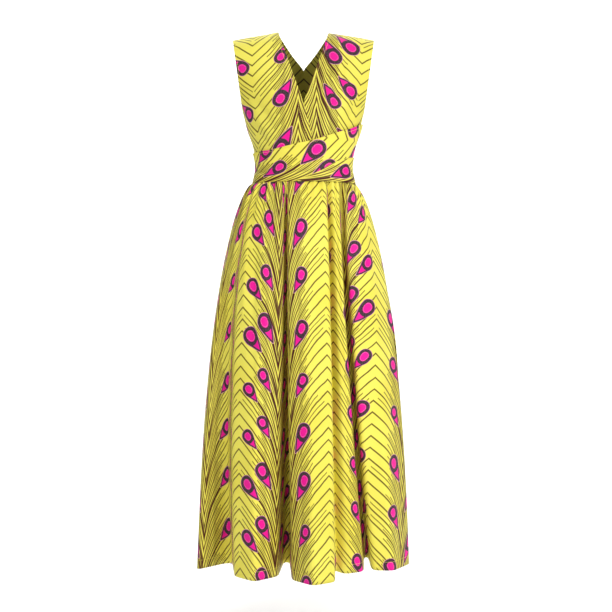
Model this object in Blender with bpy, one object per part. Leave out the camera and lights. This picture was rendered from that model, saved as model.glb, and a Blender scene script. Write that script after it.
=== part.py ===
"""A sleeveless maxi dress in wax-print cotton, filled out as it is worn.

Two front panels cross in a V over two back panels, a wound sash covers the waist seam, and a full
skirt hangs from it in deep folds. Metres, +Z up. The front faces -Y, so +X is the wearer's left.
The origin lies midway between the neck points of the shoulders, where the wearer holds it up.
"""

import math
from collections import namedtuple

import bmesh
import bpy
import numpy as np

# Driving sizes. A drop is a distance below the neck points of the shoulders.
CLOTH = 0.0015
SEAM = 0.0003
ROOM_BETWEEN_LAYERS = 0.0009
LAYER = CLOTH + ROOM_BETWEEN_LAYERS
WAIST_DROP = 0.410
HEM_DROP = 1.430
SHOULDER_FALL = 0.020
SHOULDER_ROLL = 0.045

# The sections of the bodice, one row for each height: how far the cloth reaches to the front and
# to the back, the half width of the whole rounded section, and where the armhole cuts it off.
Body = namedtuple("Body", "name drop front back half armhole")
BODY = (
    Body("shoulder", 0.000, 0.046, 0.048, 0.245, 0.1940),
    Body("collar_bone", 0.050, 0.066, 0.074, 0.237, 0.1850),
    Body("mid_armhole", 0.113, 0.098, 0.094, 0.208, 0.1755),
    Body("low_armhole", 0.178, 0.121, 0.100, 0.176, 0.1665),
    Body("armhole_bend", 0.203, 0.125, 0.101, 0.1660, 0.1635),
    Body("underarm", 0.220, 0.126, 0.100, 0.1605, 0.1605),
    Body("under_bust", 0.260, 0.122, 0.096, 0.1510, 0.1510),
    Body("ribs", 0.308, 0.111, 0.090, 0.1345, 0.1345),
    Body("waist", 0.362, 0.101, 0.088, 0.1250, 0.1250),
    Body("seam", 0.410, 0.102, 0.091, 0.1335, 0.1335),
)
SQUARENESS = 2.2

# The neck edge of a panel, as a distance from the centre line on the panel's own side. It is
# negative where the panel has crossed over to the other side.
Neckline = namedtuple("Neckline", "name drop front back")
NECKLINE = (
    Neckline("neck_point", 0.000, 0.068, 0.068),
    Neckline("nape", 0.052, 0.053, 0.0245),
    Neckline("back_crossing", 0.082, 0.0425, 0.000),
    Neckline("chest", 0.154, 0.0185, -0.026),
    Neckline("front_crossing", 0.2085, 0.000, -0.038),
    Neckline("under_bust", 0.260, -0.014, -0.046),
    Neckline("ribs", 0.308, -0.024, -0.052),
    Neckline("seam", 0.410, -0.042, -0.060),
)
OVERLAP = 0.066
OVERLAP_FADE = 0.040

# The upper edges of the sash: their drop at each angle round the body from the front centre, plus
# to the wearer's left. The lower edge follows the waist seam.
Edge = namedtuple("Edge", "name degrees upper")
SASH = (
    Edge("right_side", -90.0, 0.325),
    Edge("right_front", -45.0, 0.325),
    Edge("front", 0.0, 0.307),
    Edge("left_front", 45.0, 0.272),
    Edge("left_side", 90.0, 0.245),
    Edge("left_back", 135.0, 0.258),
    Edge("back", 180.0, 0.290),
    Edge("right_back", 225.0, 0.316),
    Edge("right_side_again", 270.0, 0.325),
)
LOWER_SASH = (
    Edge("starts_at_the_seam", -5.0, 0.404),
    Edge("left_of_front", 15.0, 0.384),
    Edge("left_front", 44.0, 0.351),
    Edge("left_side", 90.0, 0.334),
    Edge("left_back", 130.0, 0.356),
    Edge("ends_at_the_seam", 172.0, 0.404),
)

# The folds of the skirt, one row for each crest, edge or side of a hollow, all the way round. Each
# has an angle on the waist, a place in plan on the thigh and one on the hem, and how much higher
# the hem hangs there.
Fold = namedtuple("Fold", "name waist thigh_x thigh_y hem_x hem_y lift")
FOLDS = (
    Fold("right_seam", -90.0, -0.243, 0.000, -0.286, 0.014, 0.000),
    Fold("right_swell", -74.0, -0.232, -0.070, -0.280, -0.066, 0.000),
    Fold("right_hollow", -61.0, -0.200, -0.080, -0.206, -0.008, 0.004),
    Fold("right_hollow_end", -58.0, -0.190, -0.086, -0.190, -0.012, 0.004),
    Fold("second_left", -54.0, -0.174, -0.124, -0.176, -0.140, 0.000),
    Fold("second_front", -38.0, -0.118, -0.166, -0.124, -0.195, 0.000),
    Fold("second_right", -23.0, -0.056, -0.160, -0.066, -0.140, 0.000),
    Fold("middle_hollow", -19.0, -0.036, -0.104, -0.053, -0.030, 0.014),
    Fold("middle_hollow_end", -17.0, -0.022, -0.106, -0.036, -0.030, 0.014),
    Fold("middle_left", -14.0, -0.036, -0.168, -0.018, -0.160, 0.000),
    Fold("middle_front", 3.0, 0.014, -0.196, 0.024, -0.236, 0.000),
    Fold("middle_right", 22.0, 0.070, -0.176, 0.079, -0.200, 0.000),
    Fold("inner_hollow", 26.0, 0.066, -0.120, 0.082, -0.118, 0.006),
    Fold("slim_left", 31.0, 0.088, -0.142, 0.106, -0.116, 0.000),
    Fold("slim_right", 40.0, 0.110, -0.140, 0.158, -0.088, 0.000),
    Fold("outer_hollow", 45.0, 0.107, -0.100, 0.160, -0.026, 0.024),
    Fold("outer_hollow_end", 47.0, 0.120, -0.094, 0.174, -0.020, 0.024),
    Fold("left_edge", 51.0, 0.128, -0.134, 0.180, -0.074, 0.000),
    Fold("left_swell", 70.0, 0.190, -0.106, 0.236, -0.080, 0.000),
    Fold("left_seam", 90.0, 0.243, 0.000, 0.286, 0.000, 0.000),
    Fold("left_back_crest", 106.0, 0.229, 0.078, 0.277, 0.092, 0.000),
    Fold("left_back_hollow", 118.0, 0.183, 0.084, 0.212, 0.066, 0.006),
    Fold("outer_back_crest", 130.0, 0.148, 0.142, 0.178, 0.166, 0.000),
    Fold("outer_back_hollow", 144.0, 0.101, 0.130, 0.122, 0.114, 0.005),
    Fold("centre_left_crest", 160.0, 0.054, 0.176, 0.070, 0.220, 0.000),
    Fold("centre_hollow", 174.0, 0.014, 0.148, 0.024, 0.138, 0.006),
    Fold("centre_right_crest", 190.0, -0.038, 0.180, -0.046, 0.232, 0.000),
    Fold("inner_back_hollow", 206.0, -0.084, 0.134, -0.094, 0.112, 0.006),
    Fold("right_back_crest", 222.0, -0.136, 0.152, -0.162, 0.184, 0.000),
    Fold("right_back_hollow", 238.0, -0.176, 0.094, -0.194, 0.072, 0.006),
    Fold("right_side_crest", 254.0, -0.231, 0.080, -0.273, 0.098, 0.000),
    Fold("right_seam_again", 270.0, -0.243, 0.000, -0.286, 0.014, 0.000),
)
THIGH_SHARE = 0.38
FLARE = 0.65
ROUNDING = 0.036
GATHERS = 24
GATHER_DEPTH = 0.0030
GATHER_LENGTH = 0.09

# How finely the pieces are divided
FOLD_STEPS = 2400
HEM_WEIGHT = 0.65
SKIRT_COLUMNS = 96
SKIRT_ROWS = 12
WAIST_CROWDING = 1.5
PANEL_COLUMNS = 10
ROLL_ROWS = 4
PANEL_ROWS = 15
SASH_COLUMNS = 28
SASH_ROWS = 7
STEP = 0.003

YELLOW = (0.86, 0.75, 0.11)
SHADES = {"bodice": 0.94, "sash": 0.98, "skirt": 1.0}


def smooth_table(at, places, values):
    """Values on a smooth curve through a table, which never overshoots its rows."""
    gaps = np.diff(places)
    rises = np.diff(values) / gaps
    before, after = rises[:-1], rises[1:]
    climbs = before * after > 0
    safe_before = np.where(climbs, before, 1.0)
    safe_after = np.where(climbs, after, 1.0)
    heavy = 2 * gaps[1:] + gaps[:-1]
    light = gaps[1:] + 2 * gaps[:-1]
    means = (heavy + light) / (heavy / safe_before + light / safe_after)
    slopes = np.concatenate([rises[:1], np.where(climbs, means, 0.0), rises[-1:]])
    at = np.clip(at, places[0], places[-1])
    row = np.clip(np.searchsorted(places, at, side="right") - 1, 0, len(gaps) - 1)
    gap = gaps[row]
    t = (at - places[row]) / gap
    start = (1 + 2 * t) * (1 - t) ** 2 * values[row] + t * (1 - t) ** 2 * gap * slopes[row]
    end = t * t * (3 - 2 * t) * values[row + 1] - t * t * (1 - t) * gap * slopes[row + 1]
    return start + end


def column(rows, name):
    """One named column of a table."""
    return np.array([getattr(row, name) for row in rows])


def body(drop, name):
    """A column of the body table at any drop."""
    return smooth_table(drop, column(BODY, "drop"), column(BODY, name))


def ease(share):
    """0 to 1 with a soft start and end."""
    share = np.clip(share, 0.0, 1.0)
    return share * share * (3 - 2 * share)


def signed_power(value, power):
    """A power that keeps the sign."""
    return np.sign(value) * np.abs(value) ** power


def on_body(angle, drop):
    """The body at an angle from the front centre, plus to the wearer's left, all the way round."""
    across = signed_power(np.sin(angle), 2 / SQUARENESS)
    along = signed_power(np.cos(angle), 2 / SQUARENESS)
    reach = np.where(along > 0, body(drop, "front"), body(drop, "back"))
    return np.stack([body(drop, "half") * across, -reach * along, -drop], axis=-1)


def angle_of(x, drop):
    """The angle on the body, from the nearer centre line, that lies x to the side."""
    share = np.clip(x / body(drop, "half"), -1.0, 1.0)
    return np.arcsin(signed_power(share, SQUARENESS / 2))


def panel_surface(side, face):
    """A bodice panel. side is -1 on the wearer's right, and face is -1 at the front.
    u runs from the neck edge to the armhole, and v from the shoulder seam to the waist seam."""
    edge = "front" if face < 0 else "back"
    rows = ROLL_ROWS + PANEL_ROWS

    def surface(u, v):
        roll = np.minimum(v * rows / ROLL_ROWS, 1.0) * math.pi / 2
        below = np.clip((v * rows - ROLL_ROWS) / PANEL_ROWS, 0.0, 1.0)
        drop = SHOULDER_FALL * np.clip(u, 0.0, 1.0) + SHOULDER_ROLL * (1 - np.cos(roll))
        drop = drop + below * (WAIST_DROP - SEAM - drop)
        neck = smooth_table(drop, column(NECKLINE, "drop"), column(NECKLINE, edge))
        start = angle_of(neck, drop)
        end = angle_of(body(drop, "armhole"), drop)
        own_angle = start + u * (end - start)
        angle = side * (own_angle if face < 0 else math.pi - own_angle)
        point = on_body(angle, drop)
        point[..., 1] = point[..., 1] * np.sin(roll) + face * SEAM / 2
        return point

    return surface


def overlap_stand(side):
    """How far a right panel stands off, so that it clears the left one where they cross."""
    def stand(points):
        own_x = side * points[..., 0]
        return LAYER * (1 - ease((own_x - OVERLAP) / OVERLAP_FADE))

    return stand


def on_layer(count):
    """A constant stand off the body, for cloth that lies over so many others."""
    return lambda points: np.full(len(points), LAYER * count)


def sash_surface(edges, first, last, face):
    """A stretch of the sash between two angles. v runs from its upper edge to the waist seam."""
    def surface(u, v):
        degrees = first + u * (last - first)
        upper = smooth_table(degrees, column(edges, "degrees"), column(edges, "upper"))
        drop = upper + v * (WAIST_DROP - SEAM - upper)
        point = on_body(np.radians(degrees), drop)
        point[..., 1] += face * SEAM / 2
        return point

    return surface


def hem_places():
    """How far along the hem each fold lies."""
    steps = np.hypot(np.diff(column(FOLDS, "hem_x")), np.diff(column(FOLDS, "hem_y")))
    return np.concatenate([[0.0], np.cumsum(steps)])


def rounded(values):
    """A closed row of values, each averaged with its neighbours over ROUNDING of the hem."""
    reach = int(FOLD_STEPS * ROUNDING / hem_places()[-1])
    window = np.hanning(2 * reach + 3)[1:-1]
    around = np.concatenate([values[-reach:], values, values[:reach]])
    return np.convolve(around, window / window.sum(), "valid")


def fold_rows():
    """The fold table in fine even steps along the hem, with its corners rounded, and the share of
    the columns passed at each step. The columns crowd where much of the waist goes by."""
    share = hem_places() / hem_places()[-1]
    steps = np.arange(FOLD_STEPS) / FOLD_STEPS
    rows = {}
    for name in ("thigh_x", "thigh_y", "hem_x", "hem_y", "lift"):
        rows[name] = rounded(np.interp(steps, share, column(FOLDS, name)))
    turn = np.interp(steps, share, column(FOLDS, "waist"))
    rows["waist"] = rounded(turn - 360 * steps) + 360 * steps
    turned = (rows["waist"] - rows["waist"][0]) / 360
    rows["passed"] = HEM_WEIGHT * steps + (1 - HEM_WEIGHT) * turned
    return rows


ROWS = fold_rows()


def row_at(passed, name):
    """A column of the fold rows where a share of the columns is passed, all the way round."""
    turn = 360.0 if name == "waist" else 0.0
    whole = np.floor(passed)
    places = np.append(ROWS["passed"], 1.0)
    values = np.append(ROWS[name], ROWS[name][0] + turn)
    return np.interp(passed - whole, places, values) + whole * turn


def gather(passed, down, first, last):
    """The small gathers under the sash. They die out down the skirt, and flatten where the cloth
    of a hollow takes up little of the waist."""
    half_wave = (last - first) / GATHERS / 2
    spread = row_at(passed + half_wave, "waist") - row_at(passed - half_wave, "waist")
    full = ease(spread / (180 / GATHERS))
    wave = 1 + np.sin(2 * math.pi * GATHERS * (passed - first) / (last - first))
    return GATHER_DEPTH * wave * full * np.exp(-down / GATHER_LENGTH)


def skirt_surface(first, last, face):
    """A skirt panel between two shares of the columns. v runs from the waist seam to the hem."""
    knee = THIGH_SHARE**FLARE

    def surface(u, v):
        passed = first + u * (last - first)
        down = np.clip(v, 0.0, 1.0) ** WAIST_CROWDING
        waist = np.radians(row_at(passed, "waist"))
        q = down**FLARE
        near_waist = (q - knee) * (q - 1) / knee
        near_thigh = q * (1 - q) / (knee * (1 - knee))
        near_hem = q * (q - knee) / (1 - knee)
        point = near_waist[..., None] * on_body(waist, np.full_like(waist, WAIST_DROP))
        out = gather(passed, down, first, last)
        for axis, direction in enumerate((np.sin(waist), -np.cos(waist))):
            name = "xy"[axis]
            point[..., axis] += near_thigh * row_at(passed, "thigh_" + name)
            point[..., axis] += near_hem * row_at(passed, "hem_" + name)
            point[..., axis] += out * direction
        point[..., 1] += face * SEAM / 2
        hem = HEM_DROP - row_at(passed, "lift")
        point[..., 2] = -WAIST_DROP - down * (hem - WAIST_DROP)
        return point

    return surface


def outward_normals(surface, u, v):
    """The direction straight out of the cloth at each point. The cuts at the waist seam and the
    hem are level."""
    points = surface(u, v)
    along = surface(u + STEP, v) - surface(u - STEP, v)
    down = surface(u, np.minimum(v + STEP, 1.0)) - surface(u, v - STEP)
    normals = np.cross(along, down)
    if (normals * points)[:, :2].sum() < 0:
        normals = -normals
    level = (v > 1 - STEP) | np.isclose(points[:, 2], -WAIST_DROP)
    normals[level, 2] = 0.0
    return normals / np.linalg.norm(normals, axis=-1, keepdims=True)


def cloth(name, surface, columns, rows, stand, colour):
    """A closed wall of cloth. A grid takes the surface's form, stands off it by stand, and is
    extruded outwards by the thickness of the cloth."""
    bm = bmesh.new()
    outward = bm.verts.layers.float_vector.new("outward")
    bmesh.ops.create_grid(bm, x_segments=columns, y_segments=rows, size=0.5)
    u, v = np.array([vertex.co[:2] for vertex in bm.verts]).T + 0.5
    points = surface(u, v)
    normals = outward_normals(surface, u, v)
    points = points + normals * stand(points)[:, None]
    for vertex, point, normal in zip(bm.verts, points, normals):
        vertex.co = point
        vertex[outward] = normal
    bmesh.ops.triangulate(bm, faces=bm.faces, quad_method="SHORT_EDGE")
    wall = bmesh.ops.extrude_face_region(bm, geom=bm.faces[:], use_keep_orig=True)
    for part in wall["geom"]:
        if isinstance(part, bmesh.types.BMVert):
            part.co += part[outward] * CLOTH
    bmesh.ops.recalc_face_normals(bm, faces=bm.faces)
    mesh = bpy.data.meshes.new(name)
    bm.to_mesh(mesh)
    bm.free()
    mesh.shade_smooth()
    mesh.set_sharp_from_angle(angle=math.radians(50))
    mesh.materials.append(colour)
    piece = bpy.data.objects.new(name, mesh)
    bpy.context.scene.collection.objects.link(piece)
    return piece


def cotton(name, shade):
    """Printed cotton with the slight gloss of wax print."""
    material = bpy.data.materials.new(name + "_cotton")
    material.use_nodes = True
    shader = material.node_tree.nodes["Principled BSDF"]
    shader.inputs["Base Color"].default_value = (*(shade * value for value in YELLOW), 1.0)
    shader.inputs["Roughness"].default_value = 0.55
    shader.inputs["Metallic"].default_value = 0.0
    return material


def make_bodice():
    """Two front and two back panels, the right ones on top where they cross."""
    for side_name, side in (("right", -1), ("left", 1)):
        stand = overlap_stand(side) if side_name == "right" else on_layer(0)
        for face_name, face in (("front", -1), ("back", 1)):
            name = f"bodice_{face_name}_{side_name}"
            surface = panel_surface(side, face)
            rows = ROLL_ROWS + PANEL_ROWS
            cloth(name, surface, PANEL_COLUMNS, rows, stand, cotton(name, SHADES["bodice"]))


def make_sash():
    """The band across the front and round the back, and its second turn over the left side."""
    stretches = (
        ("sash_front", SASH, -90.0, 90.0, -1, 2),
        ("sash_back", SASH, 90.0, 270.0, 1, 2),
        ("sash_lower", LOWER_SASH, LOWER_SASH[0].degrees, LOWER_SASH[-1].degrees, 0, 3),
    )
    for name, edges, first, last, face, layers in stretches:
        surface = sash_surface(edges, first, last, face)
        colour = cotton(name, SHADES["sash"])
        cloth(name, surface, SASH_COLUMNS, SASH_ROWS, on_layer(layers), colour)


def make_skirt():
    """A front and a back panel, gathered into the waist seam."""
    left_seam = [row.name for row in FOLDS].index("left_seam")
    place = hem_places()[left_seam] / hem_places()[-1]
    left = np.interp(place, np.arange(FOLD_STEPS) / FOLD_STEPS, ROWS["passed"])
    for name, face, first, last in (("skirt_front", -1, 0.0, left), ("skirt_back", 1, left, 1.0)):
        surface = skirt_surface(first, last, face)
        colour = cotton(name, SHADES["skirt"])
        cloth(name, surface, SKIRT_COLUMNS, SKIRT_ROWS, on_layer(0), colour)


def main():
    for thing in list(bpy.data.objects):
        bpy.data.objects.remove(thing)
    make_bodice()
    make_sash()
    make_skirt()


main()
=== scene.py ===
# %% [markdown]
# A maxi dress in wax-print cotton
#
# The dress is shown filled out, as it is worn, with nobody in it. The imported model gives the
# solids, and this script gives them their looks: fine sheets of cloth with gathers and creases,
# the print, the sewing, the light and the camera. All sizes are in metres, the front faces -Y,
# and a drop is a distance below the neck points of the shoulders.

# %% Load the frame
import math
from collections import namedtuple

import bmesh
import bpy
import numpy as np
from mathutils import Matrix, Vector


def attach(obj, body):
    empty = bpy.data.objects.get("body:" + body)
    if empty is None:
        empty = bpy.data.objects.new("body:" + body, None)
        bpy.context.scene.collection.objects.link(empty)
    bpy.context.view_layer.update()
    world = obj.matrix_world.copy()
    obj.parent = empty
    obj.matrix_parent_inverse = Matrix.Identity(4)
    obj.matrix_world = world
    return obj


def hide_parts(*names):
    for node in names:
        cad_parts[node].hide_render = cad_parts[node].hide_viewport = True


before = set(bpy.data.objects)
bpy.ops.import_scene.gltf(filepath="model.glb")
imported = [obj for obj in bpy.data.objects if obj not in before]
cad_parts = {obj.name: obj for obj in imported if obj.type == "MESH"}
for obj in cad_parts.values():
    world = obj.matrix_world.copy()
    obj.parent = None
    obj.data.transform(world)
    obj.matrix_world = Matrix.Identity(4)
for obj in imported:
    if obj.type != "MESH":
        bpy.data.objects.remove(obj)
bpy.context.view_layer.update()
BODY_NAME = "root"

# %% [markdown]
# The camera
#
# The picture is square and taken from straight ahead, level with the middle of the dress and
# three metres away, so the sides stay upright and the curve of the hem shows from above. The
# lens follows from how many metres one pixel covers at the dress.

# %% Put the camera in front
CAMERA_DISTANCE = 3.0
METRES_PER_PIXEL = 0.0027
PIXELS = 612
CAMERA_X = 0.0068
CAMERA_DROP = 0.7344
SENSOR = 36.0

camera_data = bpy.data.cameras.new("front_camera")
camera_data.sensor_width = SENSOR
camera_data.lens = SENSOR * CAMERA_DISTANCE / (METRES_PER_PIXEL * PIXELS)
camera = bpy.data.objects.new("front_camera", camera_data)
camera.location = (CAMERA_X, -CAMERA_DISTANCE, -CAMERA_DROP)
camera.rotation_euler = (math.radians(90), 0, 0)
bpy.context.scene.collection.objects.link(camera)
bpy.context.scene.camera = camera
print(f"the lens is {camera_data.lens:.1f} mm")

# %% [markdown]
# The form of the dress
#
# The cloth follows the same sections and folds as the solids, so their tables are repeated here.
# One row is one height of the bodice, one point of a neck edge, one place on the sash, or one
# crest or hollow of the skirt. Finer grids are laid over the same form afterwards.

# %% The bodice's sections and edges
SEAM = 0.0003
LAYER = 0.0024
MID_WALL = 0.00075
WAIST_DROP = 0.410
HEM_DROP = 1.430
BUST_DROP = 0.220
SHOULDER_FALL = 0.020
SHOULDER_ROLL = 0.045
ROLL_SHARE = 4 / 19
SQUARENESS = 2.2
OVERLAP = 0.066
OVERLAP_FADE = 0.040

Body = namedtuple("Body", "name drop front back half armhole")
BODY = (
    Body("shoulder", 0.000, 0.046, 0.048, 0.245, 0.1940),
    Body("collar_bone", 0.050, 0.066, 0.074, 0.237, 0.1850),
    Body("mid_armhole", 0.113, 0.098, 0.094, 0.208, 0.1755),
    Body("low_armhole", 0.178, 0.121, 0.100, 0.176, 0.1665),
    Body("armhole_bend", 0.203, 0.125, 0.101, 0.1660, 0.1635),
    Body("underarm", 0.220, 0.126, 0.100, 0.1605, 0.1605),
    Body("under_bust", 0.260, 0.122, 0.096, 0.1510, 0.1510),
    Body("ribs", 0.308, 0.111, 0.090, 0.1345, 0.1345),
    Body("waist", 0.362, 0.101, 0.088, 0.1250, 0.1250),
    Body("seam", 0.410, 0.102, 0.091, 0.1335, 0.1335),
)
Neckline = namedtuple("Neckline", "name drop front back")
NECKLINE = (
    Neckline("neck_point", 0.000, 0.068, 0.068),
    Neckline("nape", 0.052, 0.053, 0.0245),
    Neckline("back_crossing", 0.082, 0.0425, 0.000),
    Neckline("chest", 0.154, 0.0185, -0.026),
    Neckline("front_crossing", 0.2085, 0.000, -0.038),
    Neckline("under_bust", 0.260, -0.014, -0.046),
    Neckline("ribs", 0.308, -0.024, -0.052),
    Neckline("seam", 0.410, -0.042, -0.060),
)
Edge = namedtuple("Edge", "name degrees upper")
SASH = (
    Edge("right_side", -90.0, 0.325),
    Edge("right_front", -45.0, 0.325),
    Edge("front", 0.0, 0.307),
    Edge("left_front", 45.0, 0.272),
    Edge("left_side", 90.0, 0.245),
    Edge("left_back", 135.0, 0.258),
    Edge("back", 180.0, 0.290),
    Edge("right_back", 225.0, 0.316),
    Edge("right_side_again", 270.0, 0.325),
)
LOWER_SASH = (
    Edge("starts_at_the_seam", -5.0, 0.404),
    Edge("left_of_front", 15.0, 0.384),
    Edge("left_front", 44.0, 0.351),
    Edge("left_side", 90.0, 0.334),
    Edge("left_back", 130.0, 0.356),
    Edge("ends_at_the_seam", 172.0, 0.404),
)

# %% [markdown]
# The skirt's folds
#
# The skirt is cut wide and gathered in, so it falls in crests and deep hollows. A row gives
# one of them: its angle round the waist, its place at the thigh and at the hem, and how far
# the hem is lifted there. The thigh lies a share of the way down, and a flare below 1 makes
# the skirt spread soon after the waist.

# %% The skirt's folds
Fold = namedtuple("Fold", "name waist thigh_x thigh_y hem_x hem_y lift")
FOLDS = (
    Fold("right_seam", -90.0, -0.243, 0.000, -0.286, 0.014, 0.000),
    Fold("right_swell", -74.0, -0.232, -0.070, -0.280, -0.066, 0.000),
    Fold("right_hollow", -61.0, -0.200, -0.080, -0.206, -0.008, 0.004),
    Fold("right_hollow_end", -58.0, -0.190, -0.086, -0.190, -0.012, 0.004),
    Fold("second_left", -54.0, -0.174, -0.124, -0.176, -0.140, 0.000),
    Fold("second_front", -38.0, -0.118, -0.166, -0.124, -0.195, 0.000),
    Fold("second_right", -23.0, -0.056, -0.160, -0.066, -0.140, 0.000),
    Fold("middle_hollow", -19.0, -0.036, -0.104, -0.053, -0.042, 0.014),
    Fold("middle_hollow_end", -17.0, -0.022, -0.106, -0.036, -0.042, 0.014),
    Fold("middle_left", -14.0, -0.042, -0.176, -0.028, -0.178, 0.000),
    Fold("middle_front", 3.0, 0.014, -0.196, 0.024, -0.236, 0.000),
    Fold("middle_right", 22.0, 0.070, -0.176, 0.079, -0.200, 0.000),
    Fold("inner_hollow", 26.0, 0.066, -0.110, 0.082, -0.100, 0.006),
    Fold("slim_left", 31.0, 0.088, -0.142, 0.106, -0.116, 0.000),
    Fold("slim_right", 40.0, 0.110, -0.140, 0.158, -0.088, 0.000),
    Fold("outer_hollow", 45.0, 0.107, -0.100, 0.160, -0.026, 0.024),
    Fold("outer_hollow_end", 47.0, 0.120, -0.094, 0.174, -0.020, 0.024),
    Fold("left_edge", 51.0, 0.128, -0.134, 0.180, -0.074, 0.000),
    Fold("left_swell", 70.0, 0.190, -0.106, 0.236, -0.080, 0.000),
    Fold("left_seam", 90.0, 0.243, 0.000, 0.286, 0.000, 0.000),
    Fold("left_back_crest", 106.0, 0.229, 0.078, 0.277, 0.092, 0.000),
    Fold("left_back_hollow", 118.0, 0.183, 0.084, 0.212, 0.066, 0.006),
    Fold("outer_back_crest", 130.0, 0.148, 0.142, 0.178, 0.166, 0.000),
    Fold("outer_back_hollow", 144.0, 0.101, 0.130, 0.122, 0.114, 0.005),
    Fold("centre_left_crest", 160.0, 0.054, 0.176, 0.070, 0.220, 0.000),
    Fold("centre_hollow", 174.0, 0.014, 0.148, 0.024, 0.138, 0.006),
    Fold("centre_right_crest", 190.0, -0.038, 0.180, -0.046, 0.232, 0.000),
    Fold("inner_back_hollow", 206.0, -0.084, 0.134, -0.094, 0.112, 0.006),
    Fold("right_back_crest", 222.0, -0.136, 0.152, -0.162, 0.184, 0.000),
    Fold("right_back_hollow", 238.0, -0.176, 0.094, -0.194, 0.072, 0.006),
    Fold("right_side_crest", 254.0, -0.231, 0.080, -0.273, 0.098, 0.000),
    Fold("right_seam_again", 270.0, -0.243, 0.000, -0.286, 0.014, 0.000),
)
THIGH_SHARE = 0.38
FLARE = 0.65
ROUNDING = 0.026
GATHERS = 24
GATHER_DEPTH = 0.0030
GATHER_LENGTH = 0.09
FOLD_STEPS = 2400
# the weight of the hem, against the waist, when columns of points are spread out evenly
HEM_WEIGHT = 0.65
# above 1, so that rows of points lie closer together near the waist
WAIST_CROWDING = 1.35
# the cloth slopes outwards, so it is this much longer than it is high
SKIRT_SLOPE = 1.02
print(len(BODY), "sections,", len(FOLDS), "places on the folds")


# %% [markdown]
# Curves through short tables
#
# A table gives only the heights or angles that matter. A smooth curve that never overshoots its
# rows reads off everything between them. Blender has no ready tool for that, so it is a small
# function, and every form below is made with it.

# %% Read a table smoothly
def smooth_table(at, places, values):
    gaps = np.diff(places)
    rises = np.diff(values) / gaps
    before, after = rises[:-1], rises[1:]
    climbs = before * after > 0
    safe_before = np.where(climbs, before, 1.0)
    safe_after = np.where(climbs, after, 1.0)
    heavy = 2 * gaps[1:] + gaps[:-1]
    light = gaps[1:] + 2 * gaps[:-1]
    means = (heavy + light) / (heavy / safe_before + light / safe_after)
    slopes = np.concatenate([rises[:1], np.where(climbs, means, 0.0), rises[-1:]])
    at = np.clip(at, places[0], places[-1])
    row = np.clip(np.searchsorted(places, at, side="right") - 1, 0, len(gaps) - 1)
    gap = gaps[row]
    t = (at - places[row]) / gap
    start = (1 + 2 * t) * (1 - t) ** 2 * values[row] + t * (1 - t) ** 2 * gap * slopes[row]
    end = t * t * (3 - 2 * t) * values[row + 1] - t * t * (1 - t) * gap * slopes[row + 1]
    return start + end


def column(rows, name):
    return np.array([getattr(row, name) for row in rows])


def body(drop, name):
    return smooth_table(drop, column(BODY, "drop"), column(BODY, name))


def ease(share):
    share = np.clip(share, 0.0, 1.0)
    return share * share * (3 - 2 * share)


def signed_power(value, power):
    return np.sign(value) * np.abs(value) ** power


print("the bust is", round(2 * float(body(BUST_DROP, "half")), 3), "wide")


# %% [markdown]
# The surfaces that the cloth lies on
#
# Each piece of cloth is a sheet with two directions: u across it and v down it. These functions
# say where each point of a sheet lies in space. The bodice and the sash follow rounded sections
# of the body. The first rows of a panel roll over the shoulder. A right panel stands one
# layer off where it lies over the left one, and the step fades out towards the side.

# %% Bodice and sash surfaces
def on_body(angle, drop):
    across = signed_power(np.sin(angle), 2 / SQUARENESS)
    along = signed_power(np.cos(angle), 2 / SQUARENESS)
    reach = np.where(along > 0, body(drop, "front"), body(drop, "back"))
    return np.stack([body(drop, "half") * across, -reach * along, -drop], axis=-1)


def angle_of(x, drop):
    share = np.clip(x / body(drop, "half"), -1.0, 1.0)
    return np.arcsin(signed_power(share, SQUARENESS / 2))


def panel_surface(side, face):
    edge = "front" if face < 0 else "back"

    def surface(u, v):
        roll = np.minimum(v / ROLL_SHARE, 1.0) * math.pi / 2
        below = np.clip((v - ROLL_SHARE) / (1 - ROLL_SHARE), 0.0, 1.0)
        drop = SHOULDER_FALL * np.clip(u, 0.0, 1.0) + SHOULDER_ROLL * (1 - np.cos(roll))
        drop = drop + below * (WAIST_DROP - SEAM - drop)
        neck = smooth_table(drop, column(NECKLINE, "drop"), column(NECKLINE, edge))
        start = angle_of(neck, drop)
        end = angle_of(body(drop, "armhole"), drop)
        own_angle = start + u * (end - start)
        angle = side * (own_angle if face < 0 else math.pi - own_angle)
        point = on_body(angle, drop)
        point[..., 1] = point[..., 1] * np.sin(roll) + face * SEAM / 2
        return point

    return surface


def overlap_stand(side):
    def stand(points):
        own_x = side * points[..., 0]
        return LAYER * (1 - ease((own_x - OVERLAP) / OVERLAP_FADE))

    return stand


def on_layer(count):
    return lambda points: np.full(points.shape[:-1], LAYER * count)


def sash_surface(edges, first, last, face):
    def surface(u, v):
        degrees = first + u * (last - first)
        upper = smooth_table(degrees, column(edges, "degrees"), column(edges, "upper"))
        drop = upper + v * (WAIST_DROP - SEAM - upper)
        point = on_body(np.radians(degrees), drop)
        point[..., 1] += face * SEAM / 2
        return point

    return surface


# %% [markdown]
# The skirt's surface
#
# The fold table is walked along the hem in even steps and its corners are rounded. From the
# waist a point runs out over the thigh and down to the hem on a smooth curve: three weights
# share it out between the waist, the thigh and the hem. Small gathers ripple under the sash
# and die out down the skirt, and in the hidden hollows, where little of the waist is passed.

# %% Skirt surface
def hem_places():
    steps = np.hypot(np.diff(column(FOLDS, "hem_x")), np.diff(column(FOLDS, "hem_y")))
    return np.concatenate([[0.0], np.cumsum(steps)])


def hem_place(name):
    return hem_places()[[row.name for row in FOLDS].index(name)]


HEM_LENGTH = float(hem_places()[-1])


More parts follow.
